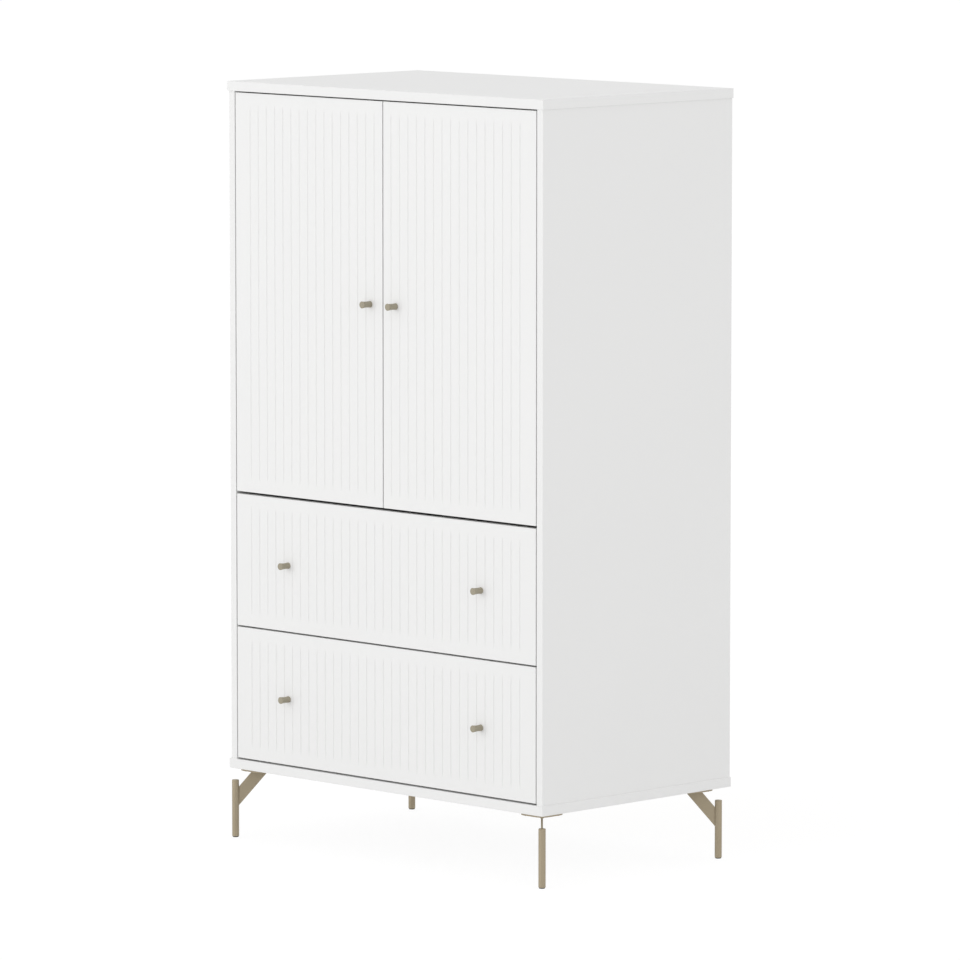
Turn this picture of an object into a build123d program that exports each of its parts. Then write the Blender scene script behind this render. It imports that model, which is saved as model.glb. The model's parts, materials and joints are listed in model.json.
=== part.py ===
"""Wardrobe with two grooved doors above two wide grooved drawers, on four welded metal legs.

Millimetres, +Z up. The front faces -Y and the width runs along X. The origin lies on the floor,
under the middle of the whole object, knobs included.
"""
from build123d import *
import os
from math import radians, sqrt, tan

os.makedirs("parts", exist_ok=True)

# ---------------------------------------------------------------- driving dimensions

# Case boards
case_width = 993.0          # over the side panels
case_depth = 599.0          # side panels, front edge to back edge
case_height = 1565.0        # underside of the bottom panel to top of the top panel
leg_height = 160.0          # floor to underside of the bottom panel
panel_thickness = 22.0      # top and bottom panels
panel_overhang = 3.5        # their lip past the sides and the front
side_thickness = 18.0
divider_thickness = 18.0
back_thickness = 4.0
back_lap = 8.0              # how far the back sheets lie on each board's edge
back_clearance = 0.5
edge_round = 1.0

# Doors and drawer fronts
front_thickness = 18.0
reveal = 3.0                # gap beside, between and above the doors, and beside the drawer fronts
drawer_reveal = 3.7         # gap under each drawer front
door_reveal = 6.0           # wider gap under the doors
drawer_front_height = 300.5
swing_clearance = 1.0       # hinge edge of an opening door to the divider

# Grooves in the fronts
groove_pitch = 26.7
groove_radius = 2.4
groove_depth = 1.2
groove_run_out = 20.0       # length over which each end of a groove gets shallower
groove_margin = 28.5        # border above and below the grooves, to the middle of the run-out
grooves_per_half = 16       # grooves on each side of the middle line

# Knobs
knob_length = 26.0
knob_base_radius = 7.3
knob_waist_radius = 6.7
knob_head_radius = 7.8
knob_edge_round = 0.8
knob_waist_height = 11.7    # waist from the front's face
door_knob_inset = 39.0      # knob axis from the door's free edge
drawer_knob_spread = 614.0  # between the two knob axes of a drawer
knob_screw_radius = 2.0
knob_screw_grip = 12.0      # thread length inside the knob

# Concealed hinges
hinges_per_door = 3
hinge_end_distance = 100.0  # outer hinge centres from the door's ends
pivot_from_edge = 20.0
pivot_depth = 9.0           # behind the door's front face
pin_radius = 1.2
pin_clearance = 0.15
eye_radius = 2.2
cup_radius = 17.5
cup_from_edge = 22.5
cup_depth = 12.5
cup_wall = 1.0
cup_floor = 0.8
flange_half_height = 26.0
flange_width = 14.0
flange_corner = 3.0
flange_thickness = 1.0
cup_screw_spread = 45.0
ear_thickness = 2.5
ear_inset = 8.5             # from the hinge's middle to each ear
ear_width = 6.0
ear_rise = 2.6
arm_thickness = 2.0
arm_width = 14.0
arm_reach = 15.0            # from the pin away from the hinge side
arm_cross_depth = 36.0      # where the arm crosses behind the door's front face
plate_thickness = 8.0
plate_clearance = 4.0       # plate's front end behind the crossing arm
plate_length = 50.0
plate_block_width = 18.0
plate_wing_width = 12.0
plate_wing_thickness = 3.0
plate_screw_spread = 32.0
plate_screw_setback = 55.0  # behind the case's front edge

# Drawers
drawer_side_thickness = 15.0
drawer_back_thickness = 15.0
drawer_side_height = 230.0
drawer_side_lift = 24.0     # lower edge above the front's lower edge
drawer_box_depth = 530.0    # behind the front
drawer_bottom_thickness = 4.0
drawer_bottom_lift = 12.0   # bottom sheet above the sides' lower edge
drawer_groove_depth = 5.0
drawer_groove_clearance = 0.1
drawer_housing_depth = 6.0  # how far the sides are let into the front
drawer_back_housing = 4.0   # how far the back is let into the sides
drawer_back_inset = 10.0    # sides' ends behind the back

# Drawer runners
runner_length = 500.0
runner_space = 12.7         # between case side and drawer side
runner_height = 45.7
runner_metal = 1.2
runner_flange = 7.0         # width of the case member's flanges, web included
runner_setback = 3.0        # behind the fronts
runner_clearance = 0.35
middle_from_wall = 4.4
middle_flange = 6.2
drawer_member_flange = 5.0
runner_screw_pitch = 192.0

# Clothes rail
rail_radius = 12.5
rail_wall = 1.5
rail_drop = 55.0            # rail axis under the top panel
holder_flange_radius = 24.0
holder_flange_thickness = 3.0
holder_depth = 14.0
holder_wall = 2.5
rail_clearance = 0.3
holder_screw_radius = 19.0  # from the rail axis to each holder screw

# Small wood screws
screw_radius = 1.75
screw_length = 13.0
screw_head_radius = 3.6
screw_head_height = 2.2

# Cam fittings and dowels
cam_radius = 7.5
cam_depth = 12.5
cam_setback = 24.0          # cam axis from the board's end
cam_slot_width = 1.2
cam_slot_depth = 1.5
bolt_thread_radius = 3.0
bolt_thread_length = 11.0
bolt_shank_radius = 2.5
bolt_head_radius = 3.3
bolt_head_length = 5.0
bolt_bore_radius = 3.6
dowel_radius = 4.0
dowel_in_face = 11.0
dowel_in_end = 19.0
joint_setback = 60.0        # outer cam fittings from the front and back edges
dowel_offset = 32.0
dowel_chamfer = 0.6

# Back sheet nails
nail_radius = 0.8
nail_length = 18.0
nail_head_radius = 2.2
nail_head_height = 0.8
nail_pitch = 180.0

# Legs
rod_radius = 8.0
rod_top_gap = 28.0          # rod top below the case
rod_side_inset = 6.3        # rod axis from the case side
rod_front_inset = 5.8       # front rods' axis from the case front
rod_back_inset = 30.4       # back rods' axis from the case back
rod_round = 1.0
strut_thickness = 4.0
strut_low = 64.0            # strut's lower corner on the rod, above the floor
strut_high = 107.0          # strut's upper corner on the rod
strut_angle = 49.5          # from the floor
leg_plate_size = 76.0
leg_plate_thickness = 6.0
leg_plate_corner = 20.0
leg_plate_offset = 3.5      # plate edges from the rod axis
leg_screw_spread = 48.0
leg_screw_radius = 2.5
leg_screw_length = 15.0
leg_screw_head_radius = 4.8
leg_screw_head_height = 2.8
glide_radius = 6.8
glide_height = 2.0
glide_chamfer = 0.6
glide_stem_radius = 3.0
glide_stem_length = 10.0

# ---------------------------------------------------------------- derived places

y_front = (knob_length - case_depth) / 2
y_back = y_front + case_depth
y_middle = (y_front + y_back) / 2
y_inside_front = y_front + front_thickness
y_inside_back = y_back - back_thickness

side_outer = case_width / 2
side_inner = side_outer - side_thickness
side_middle = side_outer - side_thickness / 2
front_half = side_inner - reveal

z_under = leg_height
z_floor = z_under + panel_thickness
z_top = z_under + case_height
z_ceiling = z_top - panel_thickness

lower_front = (z_floor + drawer_reveal, z_floor + drawer_reveal + drawer_front_height)
upper_front = (lower_front[1] + drawer_reveal, lower_front[1] + drawer_reveal + drawer_front_height)
door_span = (upper_front[1] + door_reveal, z_ceiling - reveal)
divider_span = (door_span[0], door_span[0] + divider_thickness)
z_divider = (divider_span[0] + divider_span[1]) / 2
door_middle = (door_span[0] + door_span[1]) / 2

door_hinge_edge = front_half
door_free_edge = reveal / 2
pivot_x = door_hinge_edge - pivot_from_edge
pivot_y = y_front + pivot_depth
cup_x = door_hinge_edge - cup_from_edge
y_cup_bottom = y_inside_front - cup_depth
hinge_step = (door_span[1] - door_span[0] - 2 * hinge_end_distance) / (hinges_per_door - 1)
hinge_heights = [door_span[0] + hinge_end_distance + i * hinge_step for i in range(hinges_per_door)]
swing_radius = sqrt(pivot_from_edge ** 2 + max(pivot_depth, front_thickness - pivot_depth) ** 2)
y_divider_front = pivot_y + swing_radius + swing_clearance
y_plate_front = y_front + arm_cross_depth + plate_clearance
y_plate_back = y_plate_front + plate_length
arm_x = side_inner - plate_thickness - arm_thickness / 2

runner_front = y_inside_front + runner_setback
drawer_outer = side_inner - runner_space
drawer_inner = drawer_outer - drawer_side_thickness
y_drawer_end = y_inside_front + drawer_box_depth
z_rail = z_ceiling - rail_drop
y_rail = (y_inside_front + y_inside_back) / 2

joint_depths = [y_front + joint_setback, y_middle, y_back - joint_setback]
dowel_depths = [joint_depths[0] + dowel_offset, joint_depths[-1] - dowel_offset]


# ---------------------------------------------------------------- shared shapes

def write(piece, name):
    """Label a finished piece and write it as one STEP file."""
    piece.part.label = name
    export_step(piece.part, f"parts/{name}.step")


def block(x, y, z, mode=Mode.ADD):
    """Add or cut a box between two corners, each argument a (low, high) pair."""
    middle = ((x[0] + x[1]) / 2, (y[0] + y[1]) / 2, (z[0] + z[1]) / 2)
    with Locations(middle):
        return Box(x[1] - x[0], y[1] - y[0], z[1] - z[0], mode=mode)


def screw(shank_radius, length, head_radius, head_height):
    """Pan-head screw: its head stands on z = 0 and its pointed shank goes down."""
    with BuildPart() as one_screw:
        with BuildSketch(Plane.XZ):
            with BuildLine():
                Polyline((0, -length), (shank_radius / 2, -length),
                         (shank_radius, -length + 2 * shank_radius), (shank_radius, 0), (head_radius, 0),
                         (head_radius, head_height / 2), (head_radius * 0.7, head_height), (0, head_height),
                         close=True)
            make_face()
        revolve(axis=Axis.Z)
    return one_screw.part


def bore(radius, depth):
    """Cutter for a blind hole from z = 0 downwards."""
    with BuildPart() as hole:
        Cylinder(radius, depth, align=(Align.CENTER, Align.CENTER, Align.MAX))
    return hole.part


def facing(x, y, z, outward, along=None):
    """Plane at a point of a surface, with z pointing out of that surface."""
    return Plane(origin=(x, y, z), z_dir=outward, x_dir=along)


def mirrored(right_part):
    """Left-hand copy of a right-hand piece."""
    with BuildPart() as left:
        mirror(right_part, about=Plane.YZ)
    return left


small_screw = screw(screw_radius, screw_length, screw_head_radius, screw_head_height)
small_bore = bore(screw_radius, screw_length)


# ---------------------------------------------------------------- cam fittings and dowels
# Each joint plane stands where two boards meet. Its z axis points into the board that holds the
# cam, along the bolt, and its x axis points to the face that the cam is turned from.

def corner_planes(side, depths):
    """Joints of one side panel with the top and the bottom panel."""
    inward = (-side, 0, 0)
    upper = [facing(side * side_middle, y, z_ceiling, (0, 0, -1), inward) for y in depths]
    lower = [facing(side * side_middle, y, z_floor, (0, 0, 1), inward) for y in depths]
    return upper, lower


def divider_planes(side, depths):
    """Joints of one end of the fixed divider with a side panel."""
    return [facing(side * side_inner, y, z_divider, (-side, 0, 0), (0, 0, -1)) for y in depths]


def bolt():
    """Bolt from the thread in one board to its head inside the cam of the other."""
    with BuildPart() as one_bolt:
        with BuildSketch(Plane.XZ):
            with BuildLine():
                Polyline((0, -bolt_thread_length), (bolt_thread_radius, -bolt_thread_length),
                         (bolt_thread_radius, 0), (bolt_shank_radius, 0),
                         (bolt_shank_radius, cam_setback - bolt_head_length),
                         (bolt_head_radius, cam_setback - bolt_head_length),
                         (bolt_head_radius, cam_setback), (0, cam_setback), (0, -bolt_thread_length))
            make_face()
        revolve(axis=Axis.Z)
    return one_bolt.part


def bolt_bores():
    """Cutter for the bolt's thread and for its passage to the cam."""
    with BuildPart() as bores:
        Cylinder(bolt_thread_radius, bolt_thread_length, align=(Align.CENTER, Align.CENTER, Align.MAX))
        Cylinder(bolt_bore_radius, cam_setback, align=(Align.CENTER, Align.CENTER, Align.MIN))
    return bores.part


def cam_blank(board_thickness):
    """Cam cylinder, from the face of its board inwards."""
    with BuildPart() as blank:
        with BuildSketch(Plane(origin=(board_thickness / 2, 0, cam_setback), z_dir=(-1, 0, 0))):
            Circle(cam_radius)
        extrude(amount=cam_depth)
    return blank.part


def cam(board_thickness):
    """Cam lock with the mouth that takes the bolt's head and a cross slot for the screwdriver."""
    with BuildPart() as lock:
        add(cam_blank(board_thickness))
        Cylinder(bolt_bore_radius, cam_setback + bolt_bore_radius,
                 align=(Align.CENTER, Align.CENTER, Align.MIN), mode=Mode.SUBTRACT)
        with BuildSketch(Plane(origin=(board_thickness / 2, 0, cam_setback), z_dir=(-1, 0, 0))):
            Rectangle(cam_radius, cam_slot_width)
            Rectangle(cam_slot_width, cam_radius)
        extrude(amount=cam_slot_depth, mode=Mode.SUBTRACT)
    return lock.part


def dowel():
    """Ribless wood dowel, standing in both boards of a joint."""
    with BuildPart() as pin:
        with BuildSketch(Plane.XY.offset(-dowel_in_face)):
            Circle(dowel_radius)
        extrude(amount=dowel_in_face + dowel_in_end)
        chamfer(pin.edges(), length=dowel_chamfer)
    return pin.part


def dowel_bore():
    """Cutter for the two holes that a dowel fills."""
    with BuildPart() as hole:
        with BuildSketch(Plane.XY.offset(-dowel_in_face)):
            Circle(dowel_radius)
        extrude(amount=dowel_in_face + dowel_in_end)
    return hole.part


right_top_joints, right_bottom_joints = corner_planes(1, joint_depths)
left_top_joints, left_bottom_joints = corner_planes(-1, joint_depths)
right_top_dowels, right_bottom_dowels = corner_planes(1, dowel_depths)
left_top_dowels, left_bottom_dowels = corner_planes(-1, dowel_depths)
divider_joint_depths = [joint_depths[0], joint_depths[-1]]
right_divider_joints = divider_planes(1, divider_joint_depths)
left_divider_joints = divider_planes(-1, divider_joint_depths)
right_divider_dowels = divider_planes(1, dowel_depths)
left_divider_dowels = divider_planes(-1, dowel_depths)

corner_joints = right_top_joints + right_bottom_joints + left_top_joints + left_bottom_joints
corner_dowels = right_top_dowels + right_bottom_dowels + left_top_dowels + left_bottom_dowels
divider_joints = right_divider_joints + left_divider_joints
divider_dowels = right_divider_dowels + left_divider_dowels

bolt_part = bolt()
bolt_cutter = bolt_bores()
dowel_part = dowel()
dowel_cutter = dowel_bore()
side_cam_cutter = cam_blank(side_thickness)
divider_cam_cutter = cam_blank(divider_thickness)

with BuildPart() as cam_bolts:
    with Locations(*corner_joints, *divider_joints):
        add(bolt_part)
write(cam_bolts, "cam_bolts")

with BuildPart() as cam_locks:
    with Locations(*corner_joints):
        add(cam(side_thickness))
    with Locations(*divider_joints):
        add(cam(divider_thickness))
write(cam_locks, "cam_locks")

with BuildPart() as wood_dowels:
    with Locations(*corner_dowels, *divider_dowels):
        add(dowel_part)
write(wood_dowels, "wood_dowels")


# ---------------------------------------------------------------- back sheets and their nails
# Both sheets lie in a rebate of the case boards, flush with the back, and meet behind the divider.

back_half = side_inner + back_lap - back_clearance
back_low = z_floor - back_lap + back_clearance
back_high = z_ceiling + back_lap - back_clearance
nail_inset = back_lap / 2
seam_half = back_clearance
nail_seam = divider_thickness / 4


def spread(low, high, pitch):
    """Even places from low to high, no further apart than the pitch."""
    steps = max(1, round((high - low) / pitch))
    return [low + (high - low) * i / steps for i in range(steps + 1)]


upper_rows = spread(z_divider + nail_pitch / 2, z_ceiling - nail_pitch / 2, nail_pitch)
lower_rows = spread(z_floor + nail_pitch / 2, z_divider - nail_pitch / 2, nail_pitch)
nail_columns = spread(-side_inner + nail_pitch / 2, side_inner - nail_pitch / 2, nail_pitch)
side_nail_x = side_inner + nail_inset


def nail_places(xs, zs):
    """Nail planes on the back, pointing out of it."""
    return [facing(x, y_back, z, (0, 1, 0)) for x in xs for z in zs]


side_nails = nail_places((-side_nail_x, side_nail_x), upper_rows + lower_rows)
top_nails = nail_places(nail_columns, (z_ceiling + nail_inset,))
bottom_nails = nail_places(nail_columns, (z_floor - nail_inset,))
divider_nails = nail_places(nail_columns, (z_divider + nail_seam, z_divider - nail_seam))
all_nails = side_nails + top_nails + bottom_nails + divider_nails

with BuildPart() as nail:
    Cylinder(nail_radius, nail_length, align=(Align.CENTER, Align.CENTER, Align.MAX))
    Cylinder(nail_head_radius, nail_head_height, align=(Align.CENTER, Align.CENTER, Align.MAX))

with BuildPart() as back_nails:
    with Locations(*all_nails):
        add(nail.part)
write(back_nails, "back_nails")

for sheet_name, z_low, z_high in (
    ("back_panel_upper", z_divider + seam_half, back_high),
    ("back_panel_lower", back_low, z_divider - seam_half),
):
    with BuildPart() as sheet:
        block((-back_half, back_half), (y_inside_back, y_back), (z_low, z_high))
        with Locations(*[place for place in all_nails if z_low < place.origin.Z < z_high]):
            add(nail.part, mode=Mode.SUBTRACT)
    write(sheet, sheet_name)


# ---------------------------------------------------------------- places of screws on the case

def hinge_planes(side, height):
    """Two screws that hold one mounting plate on its side panel."""
    x = side * (side_inner - plate_wing_thickness)
    y = y_front + plate_screw_setback
    half = plate_screw_spread / 2
    return [facing(x, y, height + offset, (-side, 0, 0)) for offset in (-half, half)]


def holder_planes(side):
    """Two screws that hold one rail holder."""
    x = side * (side_inner - holder_flange_thickness)
    return [facing(x, y_rail + offset, z_rail, (-side, 0, 0))
            for offset in (-holder_screw_radius, holder_screw_radius)]


def runner_level(front_span):
    """Height of a drawer's runners: the middle of the drawer's sides."""
    return front_span[0] + drawer_side_lift + drawer_side_height / 2


def runner_planes(side, level):
    """Three screws that hold one case member of a runner."""
    x = side * (side_inner - runner_metal)
    y_mid = runner_front + runner_length / 2
    return [facing(x, y_mid + i * runner_screw_pitch, level, (-side, 0, 0)) for i in (-1, 0, 1)]


def screws_on_side(side):
    """All small screws that go into one side panel."""
    places = list(holder_planes(side))
    for height in hinge_heights:
        places += hinge_planes(side, height)
    for span in (lower_front, upper_front):
        places += runner_planes(side, runner_level(span))
    return places


with BuildPart() as case_screws:
    with Locations(*screws_on_side(1), *screws_on_side(-1)):
        add(small_screw)
write(case_screws, "case_screws")


# ---------------------------------------------------------------- legs
# A leg is modelled with its rod's axis on the z axis and its strut pointing to +x +y.

leg_corners = {
    "leg_front_right": (side_outer - rod_side_inset, y_front + rod_front_inset, 90),
    "leg_front_left": (-(side_outer - rod_side_inset), y_front + rod_front_inset, 0),
    "leg_back_right": (side_outer - rod_side_inset, y_back - rod_back_inset, 180),
    "leg_back_left": (-(side_outer - rod_side_inset), y_back - rod_back_inset, -90),
}
z_plate = leg_height - leg_plate_thickness
plate_middle = leg_plate_offset + leg_plate_size / 2

with BuildPart() as leg:
    with BuildSketch(Plane.XY.offset(glide_height)):
        Circle(rod_radius)
    extrude(amount=leg_height - rod_top_gap - glide_height)
    fillet(leg.edges(), radius=rod_round)
    with BuildSketch(Plane(origin=(0, 0, 0), x_dir=(1, 1, 0), z_dir=(1, -1, 0))):
        with BuildLine():
            low_run = (z_plate - strut_low) / tan(radians(strut_angle))
            high_run = (z_plate - strut_high) / tan(radians(strut_angle))
            Polyline((0, strut_low), (low_run, z_plate), (high_run, z_plate), (0, strut_high), close=True)
        make_face()
    extrude(amount=strut_thickness / 2, both=True)
    with BuildSketch(Plane.XY.offset(z_plate)):
        with Locations((plate_middle, plate_middle)):
            RectangleRounded(leg_plate_size, leg_plate_size, leg_plate_corner)
    extrude(amount=leg_plate_thickness)
    with BuildSketch(Plane.XY.offset(z_plate)):
        with Locations((plate_middle, plate_middle)):
            with GridLocations(leg_screw_spread, leg_screw_spread, 2, 2):
                Circle(leg_screw_radius)
    extrude(amount=leg_plate_thickness, mode=Mode.SUBTRACT)
    with BuildSketch(Plane.XY.offset(glide_height)):
        Circle(glide_stem_radius)
    extrude(amount=glide_stem_length, mode=Mode.SUBTRACT)

for leg_name, (x, y, turn) in leg_corners.items():
    with BuildPart() as placed_leg:
        with Locations(Location((x, y, 0), (0, 0, turn))):
            add(leg.part)
    write(placed_leg, leg_name)

leg_places = [Location((x, y, 0), (0, 0, turn)) for x, y, turn in leg_corners.values()]

with BuildPart() as glide:
    with BuildSketch(Plane.XY):
        Circle(glide_radius)
    extrude(amount=glide_height)
    chamfer(glide.edges().group_by(Axis.Z)[0], length=glide_chamfer)
    with BuildSketch(Plane.XY.offset(glide_height)):
        Circle(glide_stem_radius)
    extrude(amount=glide_stem_length)

with BuildPart() as leg_glides:
    with Locations(*leg_places):
        add(glide.part)
write(leg_glides, "leg_glides")

half_spread = leg_screw_spread / 2
leg_screw_places = [
    place * Location((plate_middle + i * half_spread, plate_middle + j * half_spread, z_plate), (180, 0, 0))
    for place in leg_places for i in (-1, 1) for j in (-1, 1)
]
leg_screw = screw(leg_screw_radius, leg_screw_length, leg_screw_head_radius, leg_screw_head_height)

with BuildPart() as leg_screws:
    with Locations(*leg_screw_places):
        add(leg_screw)
write(leg_screws, "leg_screws")


# ---------------------------------------------------------------- case boards

def case_panel(z_low, z_high):
    """Top or bottom panel blank, with its lip at the sides and the front."""
    half = side_outer + panel_overhang
    block((-half, half), (y_front - panel_overhang, y_back), (z_low, z_high))


rebate_half = side_inner + back_lap

with BuildPart() as top_panel:
    case_panel(z_ceiling, z_top)
    fillet(top_panel.edges(), radius=edge_round)
    block((-rebate_half, rebate_half), (y_inside_back, y_back), (z_ceiling, z_ceiling + back_lap),
          mode=Mode.SUBTRACT)
    with Locations(*right_top_joints, *left_top_joints):
        add(bolt_cutter, mode=Mode.SUBTRACT)
    with Locations(*right_top_dowels, *left_top_dowels):
        add(dowel_cutter, mode=Mode.SUBTRACT)
    with Locations(*top_nails):
        add(nail.part, mode=Mode.SUBTRACT)
write(top_panel, "top_panel")

with BuildPart() as bottom_panel:
    case_panel(z_under, z_floor)
    fillet(bottom_panel.edges(), radius=edge_round)
    block((-rebate_half, rebate_half), (y_inside_back, y_back), (z_floor - back_lap, z_floor),
          mode=Mode.SUBTRACT)
    with Locations(*right_bottom_joints, *left_bottom_joints):
        add(bolt_cutter, mode=Mode.SUBTRACT)
    with Locations(*right_bottom_dowels, *left_bottom_dowels):
        add(dowel_cutter, mode=Mode.SUBTRACT)
    with Locations(*bottom_nails):
        add(nail.part, mode=Mode.SUBTRACT)
    with Locations(*leg_screw_places):
        add(leg_screw, mode=Mode.SUBTRACT)
write(bottom_panel, "bottom_panel")

with BuildPart() as side_panel_right:
    block((side_inner, side_outer), (y_front, y_back), (z_floor, z_ceiling))
    fillet(side_panel_right.edges().filter_by(Axis.Z), radius=edge_round)
    block((side_inner, rebate_half), (y_inside_back, y_back), (z_floor, z_ceiling), mode=Mode.SUBTRACT)
    with Locations(*right_top_joints, *right_bottom_joints):
        add(bolt_cutter, mode=Mode.SUBTRACT)
        add(side_cam_cutter, mode=Mode.SUBTRACT)
    with Locations(*right_divider_joints):
        add(bolt_cutter, mode=Mode.SUBTRACT)
    with Locations(*right_top_dowels, *right_bottom_dowels, *right_divider_dowels):
        add(dowel_cutter, mode=Mode.SUBTRACT)
    with Locations(*[place for place in side_nails if place.origin.X > 0]):
        add(nail.part, mode=Mode.SUBTRACT)
    with Locations(*screws_on_side(1)):
        add(small_bore, mode=Mode.SUBTRACT)
write(side_panel_right, "side_panel_right")

side_panel_left = mirrored(side_panel_right.part)
write(side_panel_left, "side_panel_left")

with BuildPart() as fixed_divider:
    block((-side_inner, side_inner), (y_divider_front, y_inside_back), divider_span)
    fillet(fixed_divider.edges().filter_by(Axis.X), radius=edge_round)
    with Locations(*divider_joints):
        add(bolt_cutter, mode=Mode.SUBTRACT)
        add(divider_cam_cutter, mode=Mode.SUBTRACT)
    with Locations(*divider_dowels):
        add(dowel_cutter, mode=Mode.SUBTRACT)
    with Locations(*divider_nails):
        add(nail.part, mode=Mode.SUBTRACT)
write(fixed_divider, "fixed_divider")


# ---------------------------------------------------------------- clothes rail

rail_half = side_inner - holder_flange_thickness - rail_clearance

with BuildPart() as clothes_rail:
    with BuildSketch(Plane(origin=(0, y_rail, z_rail), z_dir=(1, 0, 0))):
        Circle(rail_radius)
        Circle(rail_radius - rail_wall, mode=Mode.SUBTRACT)
    extrude(amount=rail_half, both=True)
write(clothes_rail, "clothes_rail")

with BuildPart() as rail_holder_right:
    with BuildSketch(Plane(origin=(side_inner, y_rail, z_rail), z_dir=(-1, 0, 0))):
        Circle(holder_flange_radius)
    extrude(amount=holder_flange_thickness)
    fillet(rail_holder_right.edges().group_by(Axis.X)[0], radius=edge_round)
    flange_face_x = side_inner - holder_flange_thickness
    with BuildSketch(Plane(origin=(flange_face_x, y_rail, z_rail), z_dir=(-1, 0, 0))):
        Circle(rail_radius + rail_clearance + holder_wall)
        Circle(rail_radius + rail_clearance, mode=Mode.SUBTRACT)
    extrude(amount=holder_depth)
    with Locations(*holder_planes(1)):
        add(small_bore, mode=Mode.SUBTRACT)
write(rail_holder_right, "rail_holder_right")

rail_holder_left = mirrored(rail_holder_right.part)
write(rail_holder_left, "rail_holder_left")


# ---------------------------------------------------------------- hinge arms and plates
# The arm leaves the pin, turns back out of the cup, crosses behind the swinging door edge
# and lies on a plate screwed to the side panel.

arm_crossing_x = pivot_x - arm_reach
y_crossing = y_front + arm_cross_depth

with BuildPart() as hinge_arm:
    with BuildSketch(Plane.XY.offset(-arm_width / 2)):
        with BuildLine():
            arm_line = Polyline((pivot_x, pivot_y), (arm_crossing_x, pivot_y), (arm_crossing_x, y_crossing),
                                (arm_x, y_crossing), (arm_x, y_plate_back))
            offset(arm_line, amount=arm_thickness / 2, kind=Kind.INTERSECTION)
        make_face()
        with Locations((pivot_x, pivot_y)):
            Circle(eye_radius)
            Circle(pin_radius + pin_clearance, mode=Mode.SUBTRACT)
    extrude(amount=arm_width)

with BuildPart() as hinge_plate:
    plate_x = (side_inner - plate_thickness, side_inner)
    block(plate_x, (y_plate_front, y_plate_back), (-plate_block_width / 2, plate_block_width / 2))
    y_wing = y_front + plate_screw_setback
    wing_half = plate_screw_spread / 2 + plate_wing_width / 2
    block((side_inner - plate_wing_thickness, side_inner),
          (y_wing - plate_wing_width / 2, y_wing + plate_wing_width / 2), (-wing_half, wing_half))
    fillet(hinge_plate.edges().filter_by(Axis.X), radius=edge_round)
    with Locations(*hinge_planes(1, 0)):
        add(small_bore, mode=Mode.SUBTRACT)

right_heights = [Location((0, 0, height)) for height in hinge_heights]

for group_name, hinge_piece in (("hinge_arms", hinge_arm), ("hinge_plates", hinge_plate)):
    with BuildPart() as one_side:
        with Locations(*right_heights):
            add(hinge_piece.part)
    with BuildPart() as both_sides:
        add(one_side.part)
        mirror(one_side.part, about=Plane.YZ)
    write(both_sides, group_name)


# ---------------------------------------------------------------- hinge cups and pins, in the doors

y_cup_floor = y_cup_bottom + cup_floor

with BuildPart() as hinge_cup:
    with BuildSketch(Plane(origin=(cup_x, y_cup_bottom, 0), z_dir=(0, 1, 0))):
        Circle(cup_radius)
    extrude(amount=cup_depth)
    with BuildSketch(Plane(origin=(cup_x, y_inside_front, 0), x_dir=(1, 0, 0), z_dir=(0, 1, 0))):
        RectangleRounded(flange_width, 2 * flange_half_height, flange_corner)
        Circle(cup_radius)
    extrude(amount=flange_thickness)
    with BuildSketch(Plane(origin=(cup_x, y_cup_floor, 0), z_dir=(0, 1, 0))):
        Circle(cup_radius - cup_wall)
    extrude(amount=cup_depth + flange_thickness, mode=Mode.SUBTRACT)
    for side in (-1, 1):
        ear_z = sorted((side * ear_inset, side * (ear_inset + ear_thickness)))
        block((pivot_x - ear_width / 2, pivot_x + ear_width / 2),
              (y_cup_floor, pivot_y + ear_rise), tuple(ear_z))
    pin_half = ear_inset + ear_thickness
    with BuildSketch(Plane(origin=(pivot_x, pivot_y, -pin_half))):
        Circle(pin_radius)
    extrude(amount=2 * pin_half, mode=Mode.SUBTRACT)
    cup_screws = [facing(cup_x, y_inside_front + flange_thickness, side * cup_screw_spread / 2, (0, 1, 0))
                  for side in (-1, 1)]
    with Locations(*cup_screws):
        add(small_bore, mode=Mode.SUBTRACT)

with BuildPart() as hinge_pin:
    with BuildSketch(Plane(origin=(pivot_x, pivot_y, -pin_half))):
        Circle(pin_radius)
    extrude(amount=2 * pin_half)


def at_hinges(piece):
    """Copies of one hinge piece at every hinge height of the right door."""
    with BuildPart() as copies:
        with Locations(*right_heights):
            add(piece)
    return copies


with BuildPart() as one_hinge_screws:
    with Locations(*cup_screws):
        add(small_screw)

for group_name, piece in (("hinge_cups", hinge_cup.part), ("hinge_pins", hinge_pin.part),
                          ("hinge_screws", one_hinge_screws.part)):
    right_group = at_hinges(piece)
    write(right_group, f"{group_name}_right")
    left_group = mirrored(right_group.part)
    write(left_group, f"{group_name}_left")


# ---------------------------------------------------------------- knobs and their screws

def knob_at(x, z):
    """Waisted cylindrical knob standing on a front, its axis along y."""
    with BuildPart() as one_knob:
        with BuildSketch(Plane(origin=(x, y_front, z), x_dir=(1, 0, 0), z_dir=(0, 0, 1))):
            with BuildLine():
                Line((0, 0), (knob_base_radius, 0))
                ThreePointArc((knob_base_radius, 0), (knob_waist_radius, -knob_waist_height),
                              (knob_head_radius, -knob_length))
                Line((knob_head_radius, -knob_length), (0, -knob_length))
                Line((0, -knob_length), (0, 0))
            make_face()
        revolve(axis=Axis((x, y_front, z), (0, 1, 0)))
        fillet(one_knob.edges().group_by(Axis.Y)[0], radius=knob_edge_round)
        with Locations(facing(x, y_front, z, (0, 1, 0))):
            add(bore(knob_screw_radius, knob_screw_grip), mode=Mode.SUBTRACT)
    return one_knob


def knob_screw_place(x, z):
    """Plane on the back of a front, where a knob screw's head rests."""
    return facing(x, y_inside_front, z, (0, 1, 0))


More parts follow.
